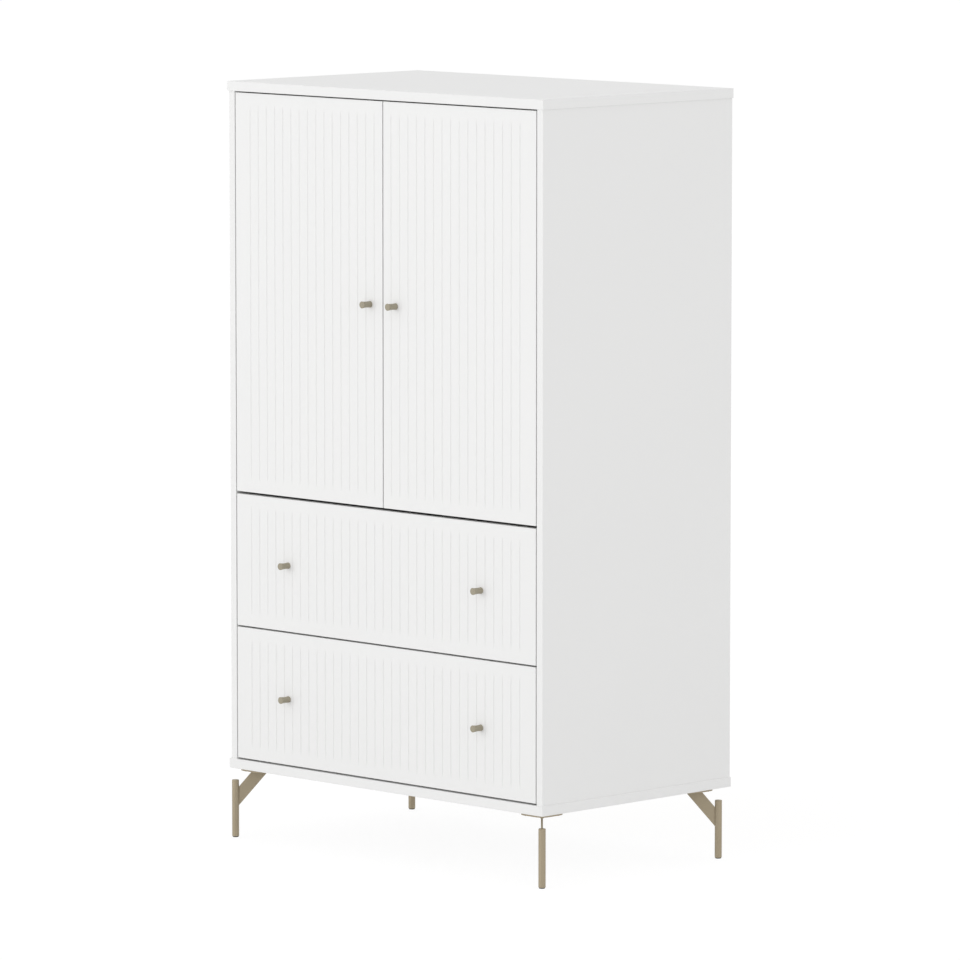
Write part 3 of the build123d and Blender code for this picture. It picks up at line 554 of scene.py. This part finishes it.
# Head height and thread turns of the small screws, the leg screws and the long knob screws.
SMALL = (2.2 * MM, 8)
LEG = (2.8 * MM, 7)
LONG = (2.2 * MM, 18)
screws("cross_screws_case", "case_screws", "case", into_case, *SMALL)
screws("cross_screws_legs", "leg_screws", "case", downwards, *LEG, "champagne_metal")
for side in ("left", "right"):
    door = f"door_{side}"
    screws(f"cross_screws_hinges_{side}", f"hinge_screws_{side}", door, backwards, *SMALL)
    screws(f"cross_screw_knob_{side}", f"door_knob_screw_{side}", door, backwards, *LONG)
for level in ("upper", "lower"):
    drawer = f"drawer_{level}"
    screws(f"cross_screws_{drawer}_knobs", f"{drawer}_knob_screws", drawer, backwards, *LONG)
    screws(f"cross_screws_{drawer}_runners", f"{drawer}_runner_screws", drawer,
           away_from_drawer, *SMALL)


# ---------------------------------------------------------------- hinge set screws

SET_SCREW_HEAD = 3.2 * MM
SET_SCREW_SHANK = 0.6 * SET_SCREW_HEAD
SET_SCREW_RISE = 1.3 * MM
SET_SCREW_SETBACKS = (9 * MM, 33 * MM)      # from the rear end of each arm
ARM_THICKNESS = 2.0 * MM
set_screw = recessed_screw(SET_SCREW_HEAD, SET_SCREW_SHANK, SET_SCREW_RISE, ARM_THICKNESS, 2)
set_grids = []
for low, high in shells("hinge_arms"):
    side = np.sign(low[0])
    seat_x = (high[0] if side > 0 else low[0]) - side * ARM_THICKNESS
    for setback in SET_SCREW_SETBACKS:
        seat = (seat_x, high[1] - setback, (low[2] + high[2]) / 2)
        set_grids.append(oriented(set_screw, seat, (-side, 0, 0)))
mesh_piece("hinge_set_screws", set_grids, "case", "plated_steel")


# ---------------------------------------------------------------- welds on the legs

ROD_RADIUS = 8.0 * MM
STRUT_HALF = 2.0 * MM
STRUT_LOW = 64.0 * MM
STRUT_HIGH = 107.0 * MM
STRUT_SLOPE = np.tan(radians(49.5))
LEG_PLATE = 6.0 * MM
BEAD_RADIUS = 1.5 * MM
BEAD_RIPPLE = 1.7 * MM
BEAD_SWELL = 0.12
BEAD_COLUMNS = 14
RINGS_PER_RIPPLE = 6


def weld_bead(start, end):
    """Bead along a straight seam: its radius swells once per ripple and closes at the ends.

    With s along the seam, the radius is bead (1 - swell + swell cos(2 pi s / ripple)) times the
    square root of 1 - |2 s / length - 1|^8.
    """
    start, end = np.array(start), np.array(end)
    length = np.linalg.norm(end - start)
    share = np.linspace(0.0, 1.0, int(length / BEAD_RIPPLE) * RINGS_PER_RIPPLE)
    swell = 1 - BEAD_SWELL + BEAD_SWELL * np.cos(2 * pi * share * length / BEAD_RIPPLE)
    taper = np.sqrt(np.clip(1 - np.abs(2 * share - 1) ** 8, 0.01, 1))
    grid = lathe(np.stack([BEAD_RADIUS * swell * taper, share * length], -1), BEAD_COLUMNS)
    return oriented(grid, start, (end - start) / length)


def leg_welds(name, node, inward):
    """Four beads of one leg: both faces of the strut against the rod, and against the plate."""
    low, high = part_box(node)
    inward = np.array(inward)
    corner = np.array([low[i] if inward[i] > 0 else high[i] for i in (0, 1)])
    axis = corner + inward * ROD_RADIUS
    along = inward / np.sqrt(2)
    across = np.array([-along[1], along[0]])
    plate_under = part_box("bottom_panel")[0].z - LEG_PLATE
    on_rod = np.sqrt(ROD_RADIUS ** 2 - STRUT_HALF ** 2)
    rise = on_rod * STRUT_SLOPE
    beads = []
    for face in (-STRUT_HALF, STRUT_HALF):
        foot = axis + along * on_rod + across * face
        beads.append(weld_bead((*foot, STRUT_LOW + rise), (*foot, STRUT_HIGH + rise)))
        near = axis + along * (plate_under - STRUT_HIGH) / STRUT_SLOPE + across * face
        far = axis + along * (plate_under - STRUT_LOW) / STRUT_SLOPE + across * face
        beads.append(weld_bead((*near, plate_under), (*far, plate_under)))
    mesh_piece(name, beads, "case", "champagne_metal")


for side, inward_x in (("left", 1), ("right", -1)):
    for end, inward_y in (("front", 1), ("back", -1)):
        leg_welds(f"welds_{end}_{side}", f"leg_{end}_{side}", (inward_x, inward_y))


# ---------------------------------------------------------------- lights, floor and camera

WORLD_LEVEL = 0.81              # light that the surround gives
FLOOR_HALF = 80.0
FLOOR_BOUNCE = 0.87             # tone that the floor throws back onto the wardrobe
FLOOR_SHADED = 0.15             # share of the seen floor that shadows can darken
FLOOR_GLOW = 0.89               # the rest of the seen floor, even white
AIM = (0.0, 0.0, 0.95)          # middle of the wardrobe


def cleared_tree(owner):
    """Empty node tree of a world or material."""
    owner.use_nodes = True
    owner.node_tree.nodes.clear()
    return owner.node_tree


def emitter(tree, kind, **constants):
    """Shader node with its sockets set to constants; returns its output."""
    made = tree.nodes.new(kind)
    for label, value in constants.items():
        made.inputs[label].default_value = value
    return made.outputs[0]


def two_faced(tree, output_kind, unseen, seen):
    """One shader for camera, glossy and transmission rays, another for all other light."""
    path = tree.nodes.new("ShaderNodeLightPath")
    directly = path.outputs["Is Camera Ray"]
    for ray in ("Is Glossy Ray", "Is Transmission Ray"):
        either = tree.nodes.new("ShaderNodeMath")
        either.operation = "MAXIMUM"
        tree.links.new(directly, either.inputs[0])
        tree.links.new(path.outputs[ray], either.inputs[1])
        directly = either.outputs[0]
    mix = tree.nodes.new("ShaderNodeMixShader")
    for socket, source in zip(mix.inputs, (directly, unseen, seen)):
        tree.links.new(source, socket)
    tree.links.new(mix.outputs[0], tree.nodes.new(output_kind).inputs[0])


def build_world():
    """Even studio surround: a plain level of light, and white wherever it is seen."""
    world = bpy.data.worlds.new("studio")
    bpy.context.scene.world = world
    tree = cleared_tree(world)
    light = emitter(tree, "ShaderNodeBackground", Color=grey(1.0), Strength=WORLD_LEVEL)
    white = emitter(tree, "ShaderNodeBackground", Color=grey(1.0), Strength=1.0)
    two_faced(tree, "ShaderNodeOutputWorld", light, white)


def build_floor():
    """Pale floor that looks white in the open and keeps a soft shadow under the wardrobe."""
    mesh = bpy.data.meshes.new("studio_floor")
    corners = [(x * FLOOR_HALF, y * FLOOR_HALF, 0) for x, y in ((-1, -1), (1, -1), (1, 1), (-1, 1))]
    mesh.from_pydata(corners, [], [(0, 1, 2, 3)])
    floor = bpy.data.objects.new("studio_floor", mesh)
    bpy.context.scene.collection.objects.link(floor)
    material = bpy.data.materials.new("studio_floor")
    tree = cleared_tree(material)
    bounce = emitter(tree, "ShaderNodeBsdfDiffuse", Color=grey(FLOOR_BOUNCE))
    shaded = emitter(tree, "ShaderNodeBsdfDiffuse", Color=grey(FLOOR_SHADED))
    glow = emitter(tree, "ShaderNodeEmission", Strength=FLOOR_GLOW)
    seen = tree.nodes.new("ShaderNodeAddShader")
    tree.links.new(shaded, seen.inputs[0])
    tree.links.new(glow, seen.inputs[1])
    two_faced(tree, "ShaderNodeOutputMaterial", bounce, seen.outputs[0])
    mesh.materials.append(material)


def soft_box(name, place, size, power):
    """Square area lamp at a place, turned to the wardrobe's middle."""
    data = bpy.data.lights.new(name, "AREA")
    data.shape = "SQUARE"
    data.size = size
    data.energy = power
    lamp = bpy.data.objects.new(name, data)
    bpy.context.scene.collection.objects.link(lamp)
    lamp.location = place
    lamp.rotation_euler = (Vector(AIM) - Vector(place)).to_track_quat("-Z", "Y").to_euler()


build_world()
build_floor()
soft_box("soft_box_front", (-2.2, -9.0, 1.5), 7.0, 300.0)
soft_box("soft_box_right", (6.5, -1.0, 1.9), 3.5, 47.0)

IMAGE_WIDTH = 960               # pixels
SENSOR_WIDTH = 36.0             # millimetres
FOCAL_PIXELS = 7172.5
CLIP_END = 200.0
CAMERA_PLACE = (11.3419, -11.3126, 2.6613)
CAMERA_TURN = 45.03             # degrees to the right of straight ahead
CAMERA_DOWN = 6.50              # degrees below level

camera_data = bpy.data.cameras.new("camera")
camera_data.sensor_width = SENSOR_WIDTH
camera_data.lens = FOCAL_PIXELS / IMAGE_WIDTH * SENSOR_WIDTH
camera_data.clip_end = CLIP_END
camera = bpy.data.objects.new("camera", camera_data)
bpy.context.scene.collection.objects.link(camera)
camera.location = CAMERA_PLACE
camera.rotation_euler = (radians(90 - CAMERA_DOWN), 0.0, radians(CAMERA_TURN))
bpy.context.scene.camera = camera
bpy.context.scene.view_settings.view_transform = "Standard"
